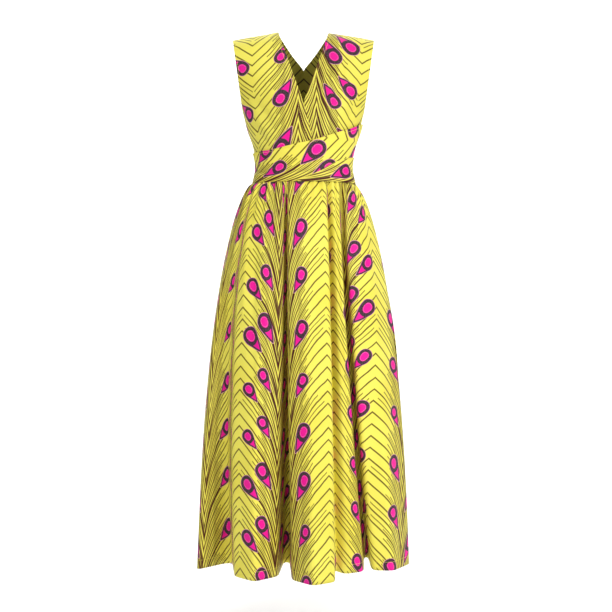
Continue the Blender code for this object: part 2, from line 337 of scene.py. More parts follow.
def rounded(values):
    reach = int(FOLD_STEPS * ROUNDING / HEM_LENGTH)
    window = np.hanning(2 * reach + 3)[1:-1]
    around = np.concatenate([values[-reach:], values, values[:reach]])
    return np.convolve(around, window / window.sum(), "valid")


def fold_rows():
    share = hem_places() / HEM_LENGTH
    steps = np.arange(FOLD_STEPS) / FOLD_STEPS
    rows = {"along": steps * HEM_LENGTH}
    for name in ("thigh_x", "thigh_y", "hem_x", "hem_y", "lift"):
        rows[name] = rounded(np.interp(steps, share, column(FOLDS, name)))
    turn = np.interp(steps, share, column(FOLDS, "waist"))
    rows["waist"] = rounded(turn - 360 * steps) + 360 * steps
    turned = (rows["waist"] - rows["waist"][0]) / 360
    rows["passed"] = HEM_WEIGHT * steps + (1 - HEM_WEIGHT) * turned
    return rows


ROWS = fold_rows()
TURNS = {"waist": 360.0, "along": HEM_LENGTH}


def row_at(passed, name):
    turn = TURNS.get(name, 0.0)
    whole = np.floor(passed)
    places = np.append(ROWS["passed"], 1.0)
    values = np.append(ROWS[name], ROWS[name][0] + turn)
    return np.interp(passed - whole, places, values) + whole * turn


def gather(passed, down, first, last):
    half_wave = (last - first) / GATHERS / 2
    spread = row_at(passed + half_wave, "waist") - row_at(passed - half_wave, "waist")
    full = ease(spread / (180 / GATHERS))
    wave = 1 + np.sin(2 * math.pi * GATHERS * (passed - first) / (last - first))
    return GATHER_DEPTH * wave * full * np.exp(-down / GATHER_LENGTH)


def skirt_surface(first, last, face):
    knee = THIGH_SHARE**FLARE

    def surface(u, v):
        passed = first + u * (last - first)
        down = np.clip(v, 0.0, 1.0) ** WAIST_CROWDING
        waist = np.radians(row_at(passed, "waist"))
        q = down**FLARE
        near_waist = (q - knee) * (q - 1) / knee
        near_thigh = q * (1 - q) / (knee * (1 - knee))
        near_hem = q * (q - knee) / (1 - knee)
        point = near_waist[..., None] * on_body(waist, np.full_like(waist, WAIST_DROP))
        out = gather(passed, down, first, last)
        for axis, direction in enumerate((np.sin(waist), -np.cos(waist))):
            name = "xy"[axis]
            point[..., axis] += near_thigh * row_at(passed, "thigh_" + name)
            point[..., axis] += near_hem * row_at(passed, "hem_" + name)
            point[..., axis] += out * direction
        point[..., 1] += face * SEAM / 2
        hem = HEM_DROP - row_at(passed, "lift")
        point[..., 2] = -WAIST_DROP - down * (hem - WAIST_DROP)
        return point

    return surface


print(f"the hem is {HEM_LENGTH:.2f} m round")

# %% [markdown]
# Creases
#
# Worn cotton is never as smooth as its pattern. Each row below is one soft crease, placed on
# the flat cloth: where it starts and ends, how wide it is, and how far it stands out, or in
# where the height is negative. They are uneven in length, depth and spacing.

# %% Crease tables
Crease = namedtuple("Crease", "across down to_across to_down width height")
SKIRT_FRONT_CREASES = (
    Crease(0.10, 0.10, 0.07, 0.62, 0.016, 0.0030),
    Crease(0.16, 0.30, 0.12, 0.98, 0.022, -0.0035),
    Crease(0.45, 0.05, 0.47, 0.42, 0.012, 0.0030),
    Crease(0.49, 0.04, 0.52, 0.80, 0.016, -0.0040),
    Crease(0.53, 0.06, 0.55, 0.60, 0.012, 0.0034),
    Crease(0.58, 0.30, 0.57, 1.00, 0.022, 0.0036),
    Crease(0.82, 0.04, 0.83, 0.60, 0.012, -0.0032),
    Crease(0.87, 0.05, 0.87, 0.35, 0.010, 0.0026),
    Crease(0.92, 0.20, 0.90, 0.95, 0.020, -0.0036),
    Crease(1.24, 0.08, 1.26, 0.60, 0.012, 0.0028),
    Crease(1.32, 0.10, 1.34, 0.75, 0.014, -0.0034),
    Crease(1.38, 0.06, 1.40, 0.50, 0.014, 0.0036),
    Crease(1.44, 0.25, 1.46, 1.00, 0.022, -0.0040),
)
SKIRT_BACK_CREASES = (
    Crease(1.56, 0.06, 1.54, 0.58, 0.014, 0.0034),
    Crease(1.64, 0.20, 1.66, 0.90, 0.018, -0.0038),
    Crease(1.78, 0.05, 1.76, 0.45, 0.011, 0.0030),
    Crease(1.89, 0.15, 1.92, 1.00, 0.020, -0.0040),
    Crease(2.04, 0.04, 2.03, 0.50, 0.012, 0.0030),
    Crease(2.16, 0.25, 2.14, 0.85, 0.017, -0.0036),
    Crease(2.28, 0.06, 2.30, 0.62, 0.013, 0.0032),
    Crease(2.42, 0.12, 2.39, 0.95, 0.018, -0.0040),
    Crease(2.50, 0.08, 2.51, 0.55, 0.014, 0.0030),
)
RIGHT_FRONT_CREASES = (
    Crease(0.150, 0.210, 0.060, 0.330, 0.012, -0.0034),
    Crease(0.160, 0.245, 0.075, 0.345, 0.009, 0.0014),
    Crease(0.155, 0.290, 0.085, 0.360, 0.008, -0.0030),
    Crease(0.090, 0.060, 0.055, 0.230, 0.020, -0.0030),
    Crease(0.030, 0.190, 0.005, 0.330, 0.008, -0.0022),
)
LEFT_FRONT_CREASES = (
    Crease(0.080, 0.040, 0.030, 0.330, 0.006, -0.0034),
    Crease(0.100, 0.060, 0.050, 0.320, 0.006, 0.0030),
    Crease(0.120, 0.080, 0.068, 0.310, 0.007, -0.0032),
    Crease(0.060, 0.120, 0.015, 0.330, 0.005, 0.0026),
    Crease(0.150, 0.150, 0.095, 0.300, 0.009, 0.0032),
    Crease(0.165, 0.215, 0.120, 0.300, 0.008, -0.0030),
)
BACK_CREASES = (
    Crease(0.150, 0.190, 0.050, 0.300, 0.012, -0.0022),
    Crease(0.155, 0.240, 0.070, 0.320, 0.009, 0.0020),
    Crease(0.090, 0.060, 0.040, 0.220, 0.018, -0.0016),
    Crease(0.060, 0.100, 0.010, 0.280, 0.010, 0.0015),
)
SASH_FRONT_CREASES = (
    Crease(0.020, 0.030, 0.200, 0.022, 0.005, -0.0022),
    Crease(0.000, 0.052, 0.130, 0.060, 0.004, 0.0024),
    Crease(0.060, 0.070, 0.300, 0.055, 0.006, -0.0024),
    Crease(0.180, 0.040, 0.400, 0.050, 0.006, 0.0018),
    Crease(0.240, 0.090, 0.420, 0.085, 0.006, -0.0022),
    Crease(0.000, 0.020, 0.060, 0.030, 0.004, 0.0022),
    Crease(0.000, 0.068, 0.110, 0.090, 0.005, -0.0024),
    Crease(0.010, 0.085, 0.150, 0.100, 0.004, 0.0020),
)
SASH_BACK_CREASES = (
    Crease(0.000, 0.060, 0.200, 0.050, 0.006, -0.0018),
    Crease(0.060, 0.090, 0.260, 0.070, 0.006, 0.0018),
    Crease(0.150, 0.040, 0.360, 0.040, 0.007, -0.0018),
    Crease(0.240, 0.060, 0.380, 0.055, 0.005, 0.0016),
)
SASH_LOWER_CREASES = (
    Crease(0.060, 0.012, 0.240, 0.030, 0.005, -0.0014),
    Crease(0.120, 0.030, 0.330, 0.018, 0.005, 0.0014),
)


def crease_height(creases, across, down):
    height = np.zeros_like(across)
    for crease in creases:
        along = np.array([crease.to_across - crease.across, crease.to_down - crease.down])
        length = float(np.hypot(*along))
        along = along / length
        from_x, from_y = across - crease.across, down - crease.down
        place = (from_x * along[0] + from_y * along[1]) / length
        off = (from_x * along[1] - from_y * along[0]) / crease.width
        fade = ease(place * 3) * ease((1 - place) * 3)
        height = height + crease.height * fade * np.exp(-off * off)
    return height


print(len(SKIRT_FRONT_CREASES) + len(SKIRT_BACK_CREASES), "creases on the skirt")

# %% [markdown]
# Sheets of cloth
#
# A sheet starts as a flat grid from bmesh. Its points are moved onto the surface, out by the
# creases, and each keeps its place on the flat cloth as a UV in metres, so the print follows the
# cloth into its folds. Solidify then gives the sheet its thickness. The finest gathers at the
# waist wander a little and run down to uneven depths.

# %% Make a sheet
CLOTH = 0.0010
STEP = 0.002
FINE_GATHER_WIDTH = 0.030
FINE_GATHER_DEPTH = 0.0013
FINE_GATHER_LENGTH = 0.045
GATHER_WANDER = ((0.010, 23.0), (0.006, 61.0))
LENGTH_SPREAD = 0.5
LENGTH_RATE = 37.0
Sheet = namedtuple("Sheet", "piece area width length points outward")


def outward_normals(surface, u, v):
    points = surface(u, v)
    along = surface(u + STEP, v) - surface(u - STEP, v)
    down = surface(u, np.minimum(v + STEP, 1.0)) - surface(u, v - STEP)
    normals = np.cross(along, down)
    if (normals * points)[..., :2].sum() < 0:
        normals = -normals
    return normals / np.linalg.norm(normals, axis=-1, keepdims=True)


def walked(points, axis):
    steps = np.linalg.norm(np.diff(points, axis=axis), axis=-1)
    return np.insert(np.cumsum(steps, axis=axis), 0, 0.0, axis=axis)


def area_of(points):
    one = np.cross(points[1:, 1:] - points[:-1, :-1], points[:-1, 1:] - points[1:, :-1])
    return float(np.linalg.norm(one, axis=-1).sum() / 2)


def fine_gathers(across, down):
    wander = sum(size * np.sin(across * rate) for size, rate in GATHER_WANDER)
    ripple = np.sin(2 * math.pi * (across + wander) / FINE_GATHER_WIDTH)
    reach = FINE_GATHER_LENGTH * (1 + LENGTH_SPREAD * np.sin(across * LENGTH_RATE))
    return FINE_GATHER_DEPTH * ripple * np.exp(-down / reach)


def new_grid(columns, rows):
    bm = bmesh.new()
    bmesh.ops.create_grid(bm, x_segments=columns, y_segments=rows, size=0.5)
    bm.verts.ensure_lookup_table()
    corners = np.array([vertex.co[:2] for vertex in bm.verts]) + 0.5
    u, v = corners.T.reshape(2, rows + 1, columns + 1)
    return bm, u, v


def bend_grid(bm, points, flat_places):
    layer = bm.loops.layers.uv.new("cloth")
    for vertex, point in zip(bm.verts, points.reshape(-1, 3)):
        vertex.co = point
    flat_places = flat_places.reshape(-1, 2)
    for face in bm.faces:
        face.smooth = True
        for loop in face.loops:
            loop[layer].uv = flat_places[loop.vert.index]


def face_outward(bm, outward):
    rows, columns = (count - 1 for count in outward.shape[:2])
    bm.faces.ensure_lookup_table()
    middle = bm.faces[rows // 2 * columns + columns // 2]
    middle.normal_update()
    if middle.normal.dot(Vector(outward[rows // 2, columns // 2])) < 0:
        bmesh.ops.reverse_faces(bm, faces=bm.faces)


def object_from(bm, name):
    mesh = bpy.data.meshes.new(name)
    bm.to_mesh(mesh)
    bm.free()
    made = bpy.data.objects.new(name, mesh)
    bpy.context.scene.collection.objects.link(made)
    return made


def cloth_sheet(node, grid, surface, stand, flat, creases, gathered=False):
    bm, u, v = new_grid(*grid)
    points = surface(u, v)
    outward = outward_normals(surface, u, v)
    across, down = flat(u, v, points)
    out = stand(points) + MID_WALL + crease_height(creases, across, down)
    if gathered:
        out = out + fine_gathers(across, down)
    points = points + outward * out[..., None]
    bend_grid(bm, points, np.stack([across, down], axis=-1))
    face_outward(bm, outward)
    piece = object_from(bm, node + "_cloth")
    wall = piece.modifiers.new("thickness", "SOLIDIFY")
    wall.thickness = CLOTH
    wall.offset = 0.0
    # the inner face takes the second slot: the inside print, darkened as painted shade
    wall.material_offset = 1
    width = float(walked(points, 1)[:, -1].max())
    length = float(walked(points, 0)[-1].max())
    area = area_of(points)
    print(f"{piece.name}: {width:.2f} by {length:.2f} m, {area:.3f} square metres")
    return Sheet(piece, area, width, length, points, outward)


# %% [markdown]
# Where a point lies on the flat cloth
#
# The print has to be laid out on the flat cloth. On the bodice a point's place is how far it is
# to walk to it, across from the centre line and down from the shoulder. On the sash it is the
# walk along the sash and the height. The skirt hangs in columns of cloth, so its place across is
# measured along the hem. Deep hollows hide pleats, and the print jumps there by their cloth. One
# amount is negative, where the fold is drawn deeper than its cloth is wide. On the left side the
# columns of the print lean, and cross the upright at a pivot, a share of the way down.

# %% Flat places
SASH_TOP_DROP = 0.30
Pleat = namedtuple("Pleat", "start end cloth")
PLEATS = (
    Pleat("right_hollow_end", "second_left", 0.1225),
    Pleat("second_right", "middle_left", -0.0250),
    Pleat("middle_right", "inner_hollow", 0.1195),
)
Lean = namedtuple("Lean", "at across")
LEANS = (
    Lean("right_seam", 0.00),
    Lean("middle_right", 0.00),
    Lean("outer_hollow", 0.08),
    Lean("left_edge", 0.14),
    Lean("left_seam", 0.14),
    Lean("outer_back_crest", 0.00),
    Lean("right_seam_again", 0.00),
)
LEAN_PIVOT = 0.55


def panel_flat(side):
    def flat(u, v, points):
        across = walked(points, 1) + side * points[:, :1, 0]
        down = walked(points, 0)
        return across, down.mean(axis=1, keepdims=True) + 0 * across

    return flat


def sash_flat(u, v, points):
    across = walked(points, 1).mean(axis=0, keepdims=True) + 0 * u
    return across, -points[..., 2] - SASH_TOP_DROP


def taken_up(along):
    total = np.zeros_like(along)
    for pleat in PLEATS:
        first, last = hem_place(pleat.start), hem_place(pleat.end)
        total = total + pleat.cloth * ease((along - first) / (last - first))
    return total


def skirt_flat(first, last):
    def flat(u, v, points):
        passed = first + u * (last - first)
        along = row_at(passed, "along")
        down = np.clip(v, 0.0, 1.0) ** WAIST_CROWDING
        places = np.array([hem_place(lean.at) for lean in LEANS])
        lean = smooth_table(along, places, column(LEANS, "across"))
        across = along + taken_up(along) + lean * (down - LEAN_PIVOT)
        return across, down * (HEM_DROP - WAIST_DROP) * SKIRT_SLOPE

    return flat


print(f"{len(PLEATS)} hidden pleats take up {sum(pleat.cloth for pleat in PLEATS):.2f} m of cloth")

# %% [markdown]
# The bodice, the sash and the skirt
#
# The dress has two front and two back panels, a sash of two stretches with a second turn over
# them, and a front and a back skirt panel. The sash lies two layers out from the bodice and its
# second turn three. Grids are as fine as the creases of a piece ask for.

# %% Lay the cloth
PANEL_GRID = (64, 110)
SASH_GRID = (140, 40)
SKIRT_GRID = (340, 120)
FRONT_CREASES = {"right": RIGHT_FRONT_CREASES, "left": LEFT_FRONT_CREASES}
Stretch = namedtuple("Stretch", "node edges first last face layers creases")
SASH_STRETCHES = (
    Stretch("sash_front", SASH, -90.0, 90.0, -1, 2, SASH_FRONT_CREASES),
    Stretch("sash_back", SASH, 90.0, 270.0, 1, 2, SASH_BACK_CREASES),
    Stretch("sash_lower", LOWER_SASH, -5.0, 172.0, 0, 3, SASH_LOWER_CREASES),
)
LEFT_SEAM = float(np.interp(hem_place("left_seam"), ROWS["along"], ROWS["passed"]))
Half = namedtuple("Half", "node face first last creases")
SKIRT_HALVES = (
    Half("skirt_front", -1, 0.0, LEFT_SEAM, SKIRT_FRONT_CREASES),
    Half("skirt_back", 1, LEFT_SEAM, 1.0, SKIRT_BACK_CREASES),
)

sheets = {}
for side_name, side in (("right", -1), ("left", 1)):
    stand = overlap_stand(side) if side_name == "right" else on_layer(0)
    for face_name, face in (("front", -1), ("back", 1)):
        creases = FRONT_CREASES[side_name] if face_name == "front" else BACK_CREASES
        node = f"bodice_{face_name}_{side_name}"
        surface = panel_surface(side, face)
        sheets[node] = cloth_sheet(node, PANEL_GRID, surface, stand, panel_flat(side), creases)

for cut in SASH_STRETCHES:
    surface = sash_surface(cut.edges, cut.first, cut.last, cut.face)
    stand = on_layer(cut.layers)
    sheets[cut.node] = cloth_sheet(cut.node, SASH_GRID, surface, stand, sash_flat, cut.creases)

for cut in SKIRT_HALVES:
    surface = skirt_surface(cut.first, cut.last, cut.face)
    flat = skirt_flat(cut.first, cut.last)
    sheets[cut.node] = cloth_sheet(
        cut.node, SKIRT_GRID, surface, on_layer(0), flat, cut.creases, gathered=True
    )

# %% [markdown]
# The wax print
#
# Wax print is dyed on both faces of plain cotton, with wax or resin keeping each dye off the
# rest. Here it is drawn by rule from a few sizes, as shader nodes on the flat cloth, so it needs
# no picture. A small helper turns sums into nodes, which keeps the recipe readable.

# %% A helper for node sums
class Recipe:
    def __init__(self, tree):
        self.tree = tree

    def node(self, kind, **settings):
        node = self.tree.nodes.new(kind)
        for name, value in settings.items():
            setattr(node, name, value)
        return node

    def feed(self, socket, value):
        if isinstance(value, bpy.types.NodeSocket):
            self.tree.links.new(value, socket)
        else:
            socket.default_value = value

    def math(self, operation, *values):
        node = self.node("ShaderNodeMath", operation=operation)
        for socket, value in zip(node.inputs, values):
            self.feed(socket, value)
        return node.outputs[0]

    def plus(self, first, second):
        return self.math("ADD", first, second)

    def minus(self, first, second):
        return self.math("SUBTRACT", first, second)

    def times(self, first, second):
        return self.math("MULTIPLY", first, second)

    def over(self, first, second):
        return self.math("DIVIDE", first, second)

    def times_plus(self, value, factor, extra):
        return self.math("MULTIPLY_ADD", value, factor, extra)

    def unsigned(self, value):
        return self.math("ABSOLUTE", value)

    def nearest_whole(self, value):
        return self.math("ROUND", value)

    def above(self, value, limit):
        return self.math("GREATER_THAN", value, limit)

    def under(self, value, limit):
        return self.math("LESS_THAN", value, limit)

    def distance(self, x, y):
        return self.math("SQRT", self.times_plus(x, x, self.times(y, y)))

    def between(self, value, low, high):
        node = self.node("ShaderNodeMapRange", interpolation_type="SMOOTHSTEP")
        self.feed(node.inputs["Value"], value)
        node.inputs["From Min"].default_value = low
        node.inputs["From Max"].default_value = high
        return node.outputs[0]

    def within(self, value, edge, blur):
        return self.minus(1.0, self.between(value, edge - blur, edge + blur))

    def mix(self, share, first, second):
        node = self.node("ShaderNodeMix", data_type="RGBA")
        self.feed(node.inputs["Factor"], share)
        self.feed(node.inputs["A"], first)
        self.feed(node.inputs["B"], second)
        return node.outputs["Result"]

    def noise(self, place, scale, detail=2.0):
        node = self.node("ShaderNodeTexNoise")
        node.inputs["Scale"].default_value = scale
        node.inputs["Detail"].default_value = detail
        self.feed(node.inputs["Vector"], place)
        return node.outputs["Fac"]

    def chance(self, first, second):
        place = self.node("ShaderNodeCombineXYZ")
        self.feed(place.inputs["X"], first)
        self.feed(place.inputs["Y"], second)
        node = self.node("ShaderNodeTexWhiteNoise", noise_dimensions="2D")
        self.feed(node.inputs["Vector"], place.outputs[0])
        return node.outputs["Value"]


# %% [markdown]
# The feather
#
# The print is a feather: barbs rise from a stem, steeply at first, and meet the next feather in
# a point. Shorter, fainter barbs of uneven length stand between them. Drops with a heart hang on
# curved stalks in two rows, one close to the stem and one further out. Every size is measured on
# the flat cloth, across from the stem or down along it.

# %% The feather's sizes
HALF_FEATHER = 0.1225
BARB_SPACING = 0.031
STEM_RISE = 0.090
STEM_REACH = 0.025
BARB_SLOPE = 0.85
BARB_WIDTH = 0.0017
SHORT_BARB_WIDTH = 0.0012
BARB_FADE = 0.006
ShortBarb = namedtuple("ShortBarb", "share start shortest longest strength")
SHORT_BARBS = (
    ShortBarb(0.50, 0.010, 0.045, 0.120, 0.90),
    ShortBarb(0.25, 0.034, 0.038, 0.078, 0.70),
    ShortBarb(0.75, 0.034, 0.038, 0.078, 0.70),
)
STALK_WIDTH = 0.0022
STALK_PAST_TAIL = 0.004
DROP_PERIOD = 0.132
DROP_JITTER = 0.022
SMALLEST_DROP = 0.84
DROP_SPREAD = 0.28
TAIL_RADIUS = 0.0015
BELLY = 1.4
Drop = namedtuple("Drop", "tail_across head_across offset radius")
DROPS = (
    Drop(0.020, 0.048, 0.000, 0.0190),
    Drop(0.058, 0.095, 0.088, 0.0200),
)

# %% [markdown]
# Barbs, stalks and drops
#
# A spot on the cloth is told apart by sums alone. Across is how far it is from the stem, below
# is how far down the cloth, and foot is where the barb through it leaves the stem. A barb is
# drawn wherever the foot is near a whole number of spacings. Tilt turns a distance down the
# cloth into one square to the barbs. A drop is a large circle joined to a small one by straight
# flanks, and the distance from its edge is all that its dyes need.

# %% Draw the barbs, stalks and drops
Spot = namedtuple("Spot", "across below foot tilt half")


def rise_at(across):
    return STEM_RISE * (1 - math.exp(-across / STEM_REACH)) + BARB_SLOPE * across


def rise_of_barbs(r, across):
    steep = r.math("EXPONENT", r.times(across, -1 / STEM_REACH))
    rise = r.times(r.minus(1.0, steep), STEM_RISE)
    rise = r.times_plus(across, BARB_SLOPE, rise)
    slope = r.times_plus(steep, STEM_RISE / STEM_REACH, BARB_SLOPE)
    tilt = r.math("SQRT", r.times_plus(slope, slope, 1.0))
    return rise, tilt


def line_at(r, off, half_width):
    return r.within(off, 1.05 * half_width, 0.45 * half_width)


def barb_lines(r, place, tilt, half_width):
    nearest = r.nearest_whole(place)
    off = r.unsigned(r.minus(place, nearest))
    off = r.over(r.times(off, BARB_SPACING), tilt)
    return line_at(r, off, half_width), nearest


def draw_barbs(r, spot):
    place = r.over(spot.foot, BARB_SPACING)
    barbs, _ = barb_lines(r, place, spot.tilt, BARB_WIDTH)
    for barb in SHORT_BARBS:
        shifted = r.minus(place, barb.share)
        short, nearest = barb_lines(r, shifted, spot.tilt, SHORT_BARB_WIDTH)
        spread = barb.longest - barb.shortest
        reach = r.times_plus(r.chance(nearest, barb.share), spread, barb.shortest)
        started = r.between(spot.across, barb.start - BARB_FADE, barb.start + BARB_FADE)
        short = r.times(short, barb.strength)
        short = r.times(short, r.under(spot.across, reach))
        barbs = r.math("MAXIMUM", barbs, r.times(short, started))
    return barbs


def drop_distances(r, x, y, radius, length):
    lean = (radius - TAIL_RADIUS) / length
    level = math.sqrt(1 - lean * lean)
    head = r.minus(r.distance(x, y), radius)
    tail = r.minus(r.distance(x, r.minus(y, length)), TAIL_RADIUS)
    flank = r.minus(r.times_plus(x, level, r.times(y, lean)), radius)
    passed = r.minus(r.times(y, level), r.times(x, lean))
    edge = r.times_plus(r.minus(flank, head), r.above(passed, 0.0), head)
    edge = r.times_plus(r.minus(tail, edge), r.above(passed, level * length), edge)
    return edge, head


def draw_drop(r, drop, spot):
    from_line = r.minus(spot.foot, drop.offset)
    count = r.nearest_whole(r.over(from_line, DROP_PERIOD))
    line = r.times(count, DROP_PERIOD)
    line = r.times_plus(r.chance(count, spot.half), DROP_JITTER, line)
    aside = r.over(r.minus(from_line, line), spot.tilt)
    reaches = r.under(spot.across, drop.tail_across + STALK_PAST_TAIL)
    stalk = r.times(line_at(r, r.unsigned(aside), STALK_WIDTH), reaches)

    tail_rise, head_rise = rise_at(drop.tail_across), rise_at(drop.head_across)
    axis = Vector((drop.head_across - drop.tail_across, head_rise - tail_rise))
    length = axis.length
    way = axis.normalized()
    up = r.minus(r.plus(line, drop.offset - tail_rise), spot.below)
    out = r.minus(spot.across, drop.tail_across)
    along = r.plus(r.times(out, way.x), r.times(up, way.y))
    off = r.minus(r.times(out, way.y), r.times(up, way.x))
    size = r.times_plus(r.chance(spot.half, count), DROP_SPREAD, SMALLEST_DROP)
    x = r.unsigned(r.over(off, size))
    y = r.over(r.minus(length, along), size)
    share = r.over(r.math("MINIMUM", r.math("MAXIMUM", y, 0.0), length), length)
    bulge = r.minus(r.math("POWER", share, BELLY), share)
    y = r.times_plus(bulge, length, y)
    edge, head = drop_distances(r, x, y, drop.radius, length)
    return edge, head, r.math("ARCTAN2", off, y), stalk


# %% [markdown]
# The dyes
#
# The ground is a strong yellow, slightly uneven as dye is. Lines go from olive to maroon near
# the stem. A drop has a purple halo, a dark ring that crackles as wax does, a magenta heart with
# a circle of pale dots, and a dark band that cuts off its tail. A pair of sizes below says how
# far a dye's edge lies outside the drop's, or inside where it is negative, and how soft it is.

# %% Mix the print into one cloth
GROUND = (0.940, 0.850, 0.125, 1.0)
GROUND_DEEP = (0.890, 0.770, 0.085, 1.0)
OLIVE = (0.080, 0.042, 0.004, 1.0)
MAROON = (0.070, 0.009, 0.006, 1.0)
HALO_PURPLE = (0.560, 0.120, 0.400, 1.0)
RING_DARK = (0.040, 0.014, 0.030, 1.0)
RING_GREY = (0.085, 0.060, 0.060, 1.0)
MAGENTA = (0.930, 0.007, 0.330, 1.0)
PALE_PINK = (0.950, 0.300, 0.560, 1.0)

CLEAR = (0.0017, 0.0005)
HALO = (0.0013, 0.0004)
RING = (-0.0001, 0.0004)
HEART = (-0.0086, 0.0005)
TAIL_HEART = (-0.0040, 0.0004)
MAROON_PART = (0.036, 0.024)
BAND = 0.0012
DOT_CIRCLE = -0.0102
DOT_REACH = 0.0005
DOT_RATE = 26.0
DOT_GAP = 0.1
LINE_STRENGTH = 0.94
WOBBLE_SCALE = 14.0
WOBBLE_ACROSS = 0.006
WOBBLE_DOWN = 0.008
CLOUD_SCALE = 5.0
CLOUD_LIMITS = (0.35, 0.75)
CRACKLE_SCALE = 320.0
CRACKLE_DETAIL = 3.0
CRACKLE_LIMITS = (0.42, 0.62)
ROW_SEED = 9.0
Print = namedtuple("Print", "node turn across down drops no_inner no_outer shade")


def lay_print(r, laid):
    mapping = r.node("ShaderNodeMapping")
    mapping.inputs["Rotation"].default_value = (0, 0, math.radians(laid.turn))
    mapping.inputs["Location"].default_value = (laid.across, laid.down, 0)
    r.feed(mapping.inputs["Vector"], r.node("ShaderNodeUVMap", uv_map="cloth").outputs[0])
    return mapping.outputs[0]


def find_feather(r, place, laid):
    wobble = r.minus(r.noise(place, WOBBLE_SCALE), 0.5)
    split = r.node("ShaderNodeSeparateXYZ")
    r.feed(split.inputs[0], place)
    sideways = r.times_plus(wobble, WOBBLE_ACROSS, split.outputs["X"])
    below = r.times_plus(wobble, WOBBLE_DOWN, split.outputs["Y"])
    feather = r.nearest_whole(r.over(sideways, 2 * HALF_FEATHER))
    from_stem = r.minus(sideways, r.times(feather, 2 * HALF_FEATHER))
    across = r.unsigned(from_stem)
    half = r.times_plus(feather, 2.0, r.above(from_stem, 0.0))
    rise, tilt = rise_of_barbs(r, across)
    shift = r.times_plus(r.chance(half, ROW_SEED), DROP_PERIOD, laid.drops)
    shifted = r.plus(below, shift)
    barb_spot = Spot(across, below, r.plus(below, rise), tilt, half)
    drop_spot = Spot(across, shifted, r.plus(shifted, rise), tilt, half)
    return barb_spot, drop_spot


def dye_drop(r, drop, bare_halves, spot, ground, ring, colour):
    edge, head, turn, stalk = draw_drop(r, drop, spot)
    bare = 0.0
    for half in bare_halves:
        bare = r.plus(bare, r.math("COMPARE", spot.half, half, 0.5))
    # a whole metre more to its edge takes a drop off a bare half
    edge = r.plus(edge, bare)
    head = r.plus(head, bare)
    stalk = r.times(stalk, r.minus(1.0, bare))
    tail_heart = r.times(r.within(edge, *TAIL_HEART), r.above(head, BAND))
    heart = r.math("MAXIMUM", r.within(head, *HEART), tail_heart)
    dots = r.above(r.math("SINE", r.times(turn, DOT_RATE)), DOT_GAP)
    circle = r.under(r.unsigned(r.minus(head, DOT_CIRCLE)), DOT_REACH)
    for share, dye in (
        (stalk, MAROON),
        (r.within(edge, *CLEAR), ground),
        (r.within(edge, *HALO), HALO_PURPLE),
        (r.within(edge, *RING), ring),
        (heart, MAGENTA),
        (r.times(circle, dots), PALE_PINK),
    ):
        colour = r.mix(share, colour, dye)
    return colour


def print_colour(r, place, laid):
    barb_spot, drop_spot = find_feather(r, place, laid)
    clouds = r.between(r.noise(place, CLOUD_SCALE), *CLOUD_LIMITS)
    ground = r.mix(clouds, GROUND, GROUND_DEEP)
    near_stem = r.within(barb_spot.across, *MAROON_PART)
    line_colour = r.mix(near_stem, OLIVE, MAROON)
    lines = r.times(draw_barbs(r, barb_spot), LINE_STRENGTH)
    colour = r.mix(lines, ground, line_colour)
    crackle = r.between(r.noise(place, CRACKLE_SCALE, CRACKLE_DETAIL), *CRACKLE_LIMITS)
    ring = r.mix(crackle, RING_DARK, RING_GREY)
    for drop, bare_halves in zip(DROPS, (laid.no_inner, laid.no_outer)):
        colour = dye_drop(r, drop, bare_halves, drop_spot, ground, ring, colour)
    return colour


# %% [markdown]
# The cotton
#
# The cloth is a fine plain weave with a slight sheen and a few thicker threads. The weave and
# the uneven threads are too small to model, so they go into the surface's bump and roughness.

# %% Weave the cloth
THREAD_PAIR = 0.0016
WEAVE_HEIGHT = 0.35
UNEVENNESS = 1.5
UNEVEN_SCALE = 90.0
BUMP_STRENGTH = 0.35
BUMP_HEIGHT = 0.0006
SMOOTHEST = 0.46
ROUGHNESS_SPREAD = 0.16
ROUGHNESS_SCALE = 40.0
SPECULAR = 0.20
SHEEN = 0.03
SHEEN_ROUGHNESS = 0.45


def weave(r, shader, place):
    scaled = r.node("ShaderNodeVectorMath", operation="SCALE")
    r.feed(scaled.inputs[0], place)
    scaled.inputs["Scale"].default_value = 2 * math.pi / THREAD_PAIR
    threads = r.node("ShaderNodeSeparateXYZ")
    r.feed(threads.inputs[0], scaled.outputs[0])
    crossing = r.times(*(r.math("SINE", threads.outputs[axis]) for axis in "XY"))
    uneven = r.noise(place, UNEVEN_SCALE, 4.0)
    height = r.times_plus(uneven, UNEVENNESS, r.times(crossing, WEAVE_HEIGHT))
    bump = r.node("ShaderNodeBump")
    bump.inputs["Strength"].default_value = BUMP_STRENGTH
    bump.inputs["Distance"].default_value = BUMP_HEIGHT
    r.feed(bump.inputs["Height"], height)
    r.feed(shader.inputs["Normal"], bump.outputs[0])
    rough = r.times_plus(r.noise(place, ROUGHNESS_SCALE), ROUGHNESS_SPREAD, SMOOTHEST)
    r.feed(shader.inputs["Roughness"], rough)
    shader.inputs["Specular IOR Level"].default_value = SPECULAR
    shader.inputs["Sheen Weight"].default_value = SHEEN
    shader.inputs["Sheen Roughness"].default_value = SHEEN_ROUGHNESS


def wax_print(name, laid):
    material = bpy.data.materials.new(name)
    material.use_nodes = True
    shader = material.node_tree.nodes["Principled BSDF"]
    r = Recipe(material.node_tree)
    place = lay_print(r, laid)
    # the piece's shade darkens its whole print evenly, as painted shade
    shaded = r.node("ShaderNodeHueSaturation")
    shaded.inputs["Value"].default_value = laid.shade
    r.feed(shaded.inputs["Color"], print_colour(r, place, laid))
    r.feed(shader.inputs["Base Color"], shaded.outputs[0])
    weave(r, shader, place)
    return material
